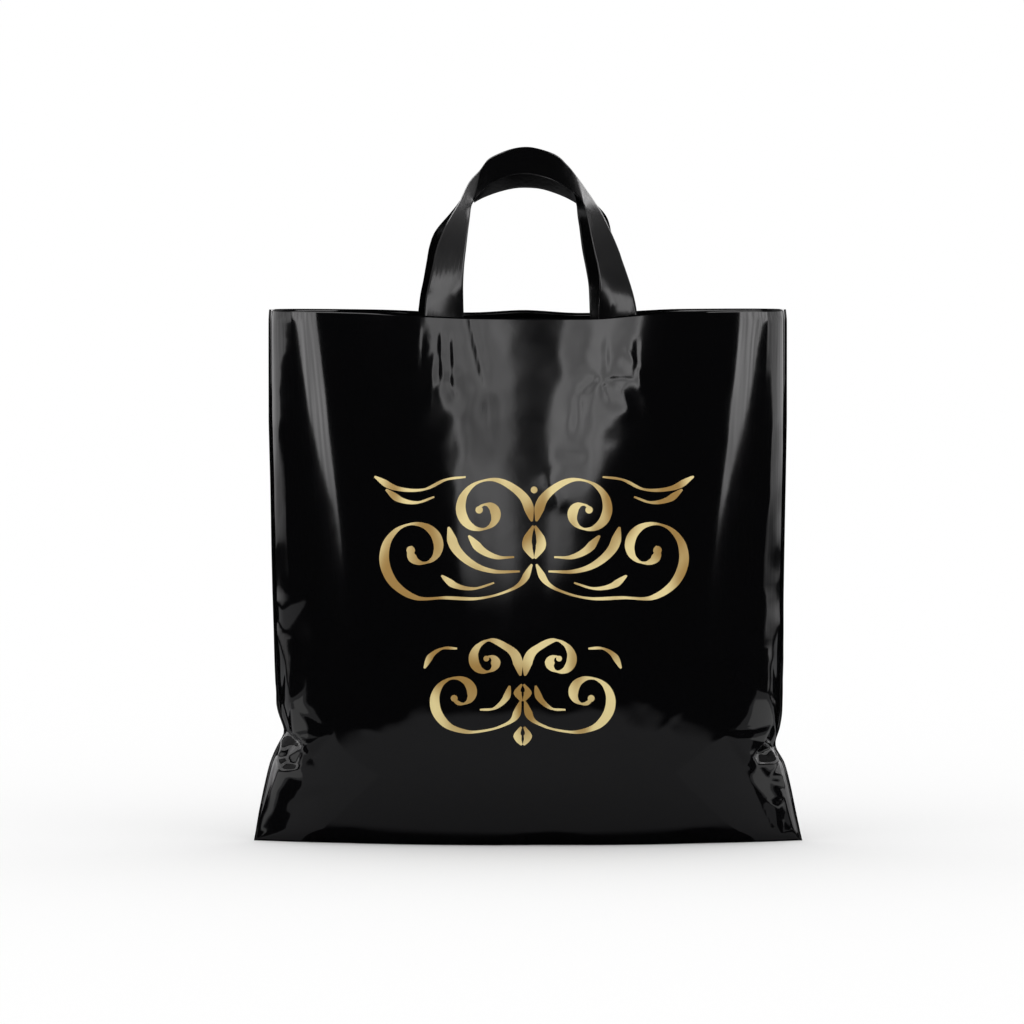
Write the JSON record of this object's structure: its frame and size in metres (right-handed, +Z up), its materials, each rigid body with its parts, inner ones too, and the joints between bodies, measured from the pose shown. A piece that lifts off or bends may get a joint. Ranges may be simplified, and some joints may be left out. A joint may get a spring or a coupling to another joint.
{
  "type": "soft loop plastic carrier bag",
  "caption": "Opened glossy film carrier bag with welded side seams, a tucked bottom gusset and soft film loop handles welded inside the mouth.",
  "frame": {"origin": "centre of the footprint on the surface that the bag stands on", "axes": "+X to the right along the bag's width, +Y towards the back panel, so the printed front panel faces -Y, +Z up towards the handles"},
  "size_m": [0.3878, 0.1304, 0.4905],
  "materials": {
    "bag_film": "glossy opaque black polyethylene film",
    "handle_film": "glossy opaque black polyethylene strip"
  },
  "bodies": {
    "root": {"bag_body": "bag_film", "front_handle": "handle_film", "back_handle": "handle_film"}
  },
  "joints": []
}
